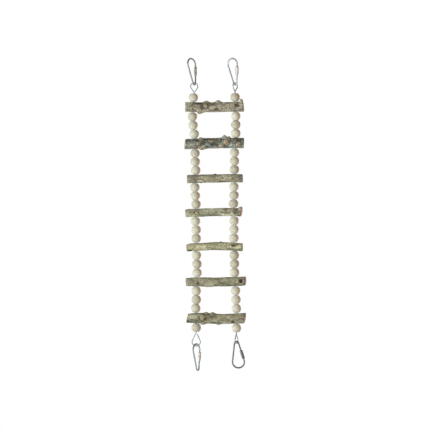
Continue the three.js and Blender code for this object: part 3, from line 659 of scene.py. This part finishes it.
def make_bead(side, number, rng):
    name = f"bead_{SIDE_NAMES[side]}_{number:02d}"
    low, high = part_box(name)
    centre = (low + high) / 2
    half = (high[2] - low[2]) / 2 / MM
    dome = half + BEAD_CUT
    radius = BEAD_D / 2 * rng.uniform(0.997, 1.022)
    bore = BEAD_BORE / 2
    start = math.asin(half / dome)
    profile = [(bore, -half + 0.35), (bore + 0.12, -half + 0.1)]
    steps = 22
    for i in range(steps + 1):
        t = -start + 2 * start * i / steps
        profile.append((math.cos(t) * radius, math.sin(t) * dome))
    profile += [(bore + 0.12, half - 0.1), (bore, half - 0.35)]
    hole = [0.9, 0.6] + [0.25] + [0.0] * (steps - 1) + [0.25] + [0.6, 0.9]
    for share in (0.5, 0.0, -0.5):
        profile.append((bore, half * share))
        hole.append(1.0)
    rows = []
    angle = np.arange(BEAD_ROUND) / BEAD_ROUND * 2 * math.pi
    for r, z in profile:
        rows.append(np.stack([np.cos(angle) * r, np.sin(angle) * r, np.full(BEAD_ROUND, z)], 1))
    points = np.concatenate(rows)
    skin = np.repeat([1.0 if h == 0 else 0.0 for h in hole], BEAD_ROUND)
    lumps = 1 + skin * noise(points + number * 31 + side * 977, 3.5, 71) * 0.007
    points = points * np.stack([lumps, lumps, np.ones(len(points))], 1)
    faces = grid_faces(len(profile), BEAD_ROUND, wrap_rows=True)
    obj = new_mesh(name + "_wood", points, faces, [bead_wood])
    turn = Matrix.Rotation(rng.uniform(0, 6.28), 3, "Z") @ Matrix.Rotation(rng.uniform(-0.5, 0.5), 3, "X")
    shift = Vector(rng.uniform(-1, 1, 3))
    grain = (points * MM) @ np.array(turn).T + np.array(shift)
    attribute(obj, "grain", "FLOAT_VECTOR", grain)
    attribute(obj, "tone", "FLOAT", np.full(len(points), rng.uniform(0, 1)))
    attribute(obj, "hole", "FLOAT", np.repeat(hole, BEAD_ROUND))
    obj.location = centre
    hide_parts(name)
    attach(obj, name + "_body")


rng = np.random.default_rng(12)
for side in (LEFT, RIGHT):
    for number in range(1, BEADS_PER_SIDE + 1):
        make_bead(side, number, rng)

# ---- Wires, one piece from the middle of each rung to the next ----

def eye_stations(eye, crossing, up):
    height, radius, turn = eye
    reach = height - radius
    half = math.asin(radius / reach)
    straight = reach * math.cos(half)
    flat = [(-math.sin(half) * straight * k, math.cos(half) * straight * k)
            for k in np.linspace(0.06, 0.98, 8)]
    for i in range(41):
        t = math.pi + half - (math.pi + 2 * half) * i / 40
        flat.append((math.cos(t) * radius, reach + math.sin(t) * radius))
    tail = np.linspace(0.95, 0.2, 9)
    flat += [(math.sin(half) * straight * k, math.cos(half) * straight * k) for k in tail]
    c, s = math.cos(math.radians(turn)), math.sin(math.radians(turn))
    out = []
    for i, (u, v) in enumerate(flat):
        w = (WIRE_D + CLEARANCE) / 2 * max(0, i - len(flat) + 1 + len(tail)) / len(tail)
        out.append((crossing[0] + u * c - w * s, crossing[1] + u * s + w * c, crossing[2] + up * v))
    return out


def make_wire(side, gap):
    """The wire from the middle of rung gap+1 to the middle of rung gap+2, with the eye at either end."""
    first, last = gap == 0, gap == len(RUNGS) - 2
    x_top, x_low = RUNGS[gap]["wires"][side], RUNGS[gap + 1]["wires"][side]
    top = TOP_PIVOT_Z - TOP_EYE if first else rung_height(gap, x_top)
    low = bottom_crossing(side) if last else rung_height(gap + 1, x_low)
    stations = []
    if first:
        stations += eye_stations(EYES[f"top_{SIDE_NAMES[side]}"], (TOP_X[side], 0, top), 1)[::-1]
    stations += [(wire_x(side, z), 0, z) for z in np.linspace(top, low, 70 if first or last else 48)]
    if last:
        stations += eye_stations(EYES[f"bottom_{SIDE_NAMES[side]}"], (BOTTOM_X[side], 0, low), -1)
    points, faces = tube(stations, WIRE_D / 2, 14)
    obj = new_mesh(f"wire_{SIDE_NAMES[side]}_{gap + 1}", points, faces, [wire_steel])
    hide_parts(f"wire_{SIDE_NAMES[side]}")
    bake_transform(obj)


for side in (LEFT, RIGHT):
    for gap in range(len(RUNGS) - 1):
        make_wire(side, gap)

# ---- Screw links and their sleeve nuts ----

def link_frame(key):
    end, side = key.split("_")
    side = SIDE_NAMES.index(side)
    hooked, lean, turn = LINKS[key]
    if end == "top":
        pivot = Vector((TOP_X[side], 0, TOP_PIVOT_Z))
    else:
        pivot = Vector((BOTTOM_X[side], 0, bottom_crossing(side) - EYES[key][0]))
    wide_up = (end == "top") == (hooked == "narrow")
    offset = PIVOT_FROM_WIDE if hooked == "narrow" else CONTACT - WIDE_R
    m = Matrix.Translation(pivot * MM) @ Matrix.Rotation(-math.radians(lean), 4, "Y")
    if not wide_up:
        m = m @ Matrix.Rotation(math.pi, 4, "Y")
    return m @ Matrix.Translation((0, 0, offset * MM)) @ Matrix.Rotation(math.radians(turn), 4, "Z")


def leg_point(distance):
    c, s = math.cos(LEG_ANGLE), math.sin(LEG_ANGLE)
    return (c * WIDE_R - s * distance, 0, -s * WIDE_R - c * distance)


def thread_radius(depth):
    """The bar's radius on its threaded end, at a depth from the chamfered tip."""
    groove = THREAD_DEPTH * (0.5 - 0.5 * math.cos(2 * math.pi * depth / THREAD_PITCH))
    chamfer = THREAD_CHAMFER * max(0, 1 - depth / THREAD_CHAMFER)
    return LINK_D / 2 - groove - chamfer


def make_link(key):
    end, side = key.split("_")
    stations, radii = [], []

    def add(point, radius=LINK_D / 2):
        stations.append(point)
        radii.append(radius)

    for d in np.linspace(GATE_START, GATE_START - THREAD_LENGTH, 28):
        add(leg_point(d), thread_radius(GATE_START - d))
    for d in np.linspace(GATE_START - THREAD_LENGTH - 0.2, 0.1, 4):
        add(leg_point(d))
    for t in np.linspace(-LEG_ANGLE, math.pi + LEG_ANGLE, 48):
        add((math.cos(t) * WIDE_R, 0, math.sin(t) * WIDE_R))
    for d in np.linspace(0.04, 0.96, 14):
        p = leg_point(LEG_LENGTH * d)
        add((-p[0], 0, p[2]))
    for t in np.linspace(math.pi + LEG_ANGLE, 2 * math.pi - LEG_ANGLE, 30):
        add((math.cos(t) * NARROW_R, 0, -CENTRES + math.sin(t) * NARROW_R))
    low = GATE_START + GATE_GAP
    for d in np.linspace(LEG_LENGTH - 0.6, low + THREAD_LENGTH + 0.2, 9):
        add(leg_point(d))
    for d in np.linspace(low + THREAD_LENGTH, low, 28):
        add(leg_point(d), thread_radius(d - low))
    points, faces = tube(stations, radii, 18)
    obj = new_mesh(f"link_{key}_bar", points, faces, [LINK_STEEL[key]])
    obj.matrix_world = link_frame(key)
    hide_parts(f"link_{key}")
    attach(obj, "top_links" if end == "top" else f"bottom_link_{side}")


def make_nut(key):
    """A six-sided nut whose ends taper, with a threaded bore."""
    around, half = 48, SLEEVE_L / 2
    angle = np.arange(around) / around * 2 * math.pi
    sector = (angle + math.pi / 6) % (math.pi / 3) - math.pi / 6
    hexagon = np.minimum(SLEEVE_FLATS / 2 / np.cos(sector), SLEEVE_FLATS / 2 * 1.12)
    bore = LINK_D / 2 + CLEARANCE
    rows = []
    taper = np.linspace(-half, -half + SLEEVE_TAPER, 10)
    for z in np.concatenate([taper, np.linspace(taper[-1], -taper[-1], 8)[1:-1], -taper[::-1]]):
        inset = max(0.0, (abs(z) - half + SLEEVE_TAPER) / SLEEVE_TAPER)
        cone = bore + 0.32 + (SLEEVE_FLATS / 2 * 1.14 - bore - 0.32) * math.sqrt(max(0.0, 1 - inset ** 2))
        rows.append((np.minimum(hexagon, cone), z))
    for z in np.linspace(half - 0.05, -half + 0.05, 60):
        rows.append((np.full(around, bore + 0.10 * math.cos(2 * math.pi * z / THREAD_PITCH) - 0.02), z))
    rings = [np.stack([np.cos(angle) * r, np.sin(angle) * r, np.full(around, z)], 1) for r, z in rows]
    points = np.concatenate(rings)
    faces = grid_faces(len(rows), around, wrap_rows=True)
    obj = new_mesh(f"nut_{key}_body", points, faces, [NUT_STEEL[key]])
    centre = leg_point(GATE_START - SLEEVE_OVER + SLEEVE_L / 2)
    obj.matrix_world = (link_frame(key) @ Matrix.Translation(Vector(centre) * MM)
                        @ Matrix.Rotation(LEG_ANGLE, 4, "Y"))
    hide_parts(f"sleeve_{key}")
    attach(obj, f"nut_{key}")


for key in LINKS:
    make_link(key)
    make_nut(key)

# ---- Studio ----

def area_light(name, location, target, size, power, colour):
    light = bpy.data.objects.new(name, bpy.data.lights.new(name, "AREA"))
    light.data.shape, light.data.size, light.data.size_y = "RECTANGLE", *size
    light.data.energy, light.data.color = power, colour
    light.location = location
    light.rotation_euler = (Vector(target) - Vector(location)).to_track_quat("-Z", "Y").to_euler()
    bpy.context.collection.objects.link(light)


AIM = (0, 0, LOOK_Z)
area_light("key", (-1.5, -1.15, LOOK_Z + 0.05), AIM, (1.0, 1.2), 30.2, (0.92, 1.0, 1.04))
area_light("fill", (0.35, -2.4, -0.3), AIM, (0.9, 0.9), 6, (1.0, 0.96, 0.90))
area_light("bounce", (1.7, -0.5, LOOK_Z), AIM, (1.2, 1.6), 4.0, (1.0, 0.42, 0.18))
area_light("side", (1.25, 1.8, LOOK_Z - 0.1), AIM, (0.9, 1.2), 25, (0.97, 1.0, 1.05))
area_light("back", (-1.2, 1.7, LOOK_Z - 0.1), AIM, (0.9, 1.2), 12, (0.97, 1.0, 1.04))

floor_m, floor_t, floor_shader = nodes_of("floor")
dust = noise_node(floor_t, floor_t.nodes.new("ShaderNodeTexCoord").outputs["Object"], 6, 3)
floor_t.links.new(ramp(floor_t, dust, (0.3, (0.80, 0.80, 0.79)), (0.7, (0.83, 0.83, 0.82))),
                  floor_shader.inputs["Base Color"])
floor_shader.inputs["Roughness"].default_value = 0.9
# a wash of light that only the eye and the steel see, so the pale floor does not light the ladder from below
floor_rays = floor_t.nodes.new("ShaderNodeLightPath").outputs
floor_seen = maths(floor_t, "MAXIMUM", floor_rays["Is Camera Ray"], floor_rays["Is Glossy Ray"])
floor_t.links.new(floor_seen, floor_shader.inputs["Emission Strength"])
floor_shader.inputs["Emission Color"].default_value = (0.72, 0.77, 0.80, 1)
FLOOR_REACH, FLOOR_Z = 3, -0.85
corners = [(x * FLOOR_REACH, y * FLOOR_REACH, 0) for x, y in ((-1, -1), (1, -1), (1, 1), (-1, 1))]
floor = new_mesh("floor", corners, [(0, 1, 2, 3)], [floor_m], False, 1)
floor.location = (0, 0, FLOOR_Z)

world = bpy.data.worlds.new("studio")
bpy.context.scene.world = world
world.use_nodes = True
wt = world.node_tree
background = wt.nodes["Background"]
path = wt.nodes.new("ShaderNodeLightPath")
# white to the camera, and a dim warm light on the ladder
world_colour = mix(wt, path.outputs["Is Camera Ray"], (0.252, 0.188, 0.150), (1.0, 1.0, 1.0))
wt.links.new(world_colour, background.inputs["Color"])
bpy.context.scene.view_settings.view_transform = "Standard"
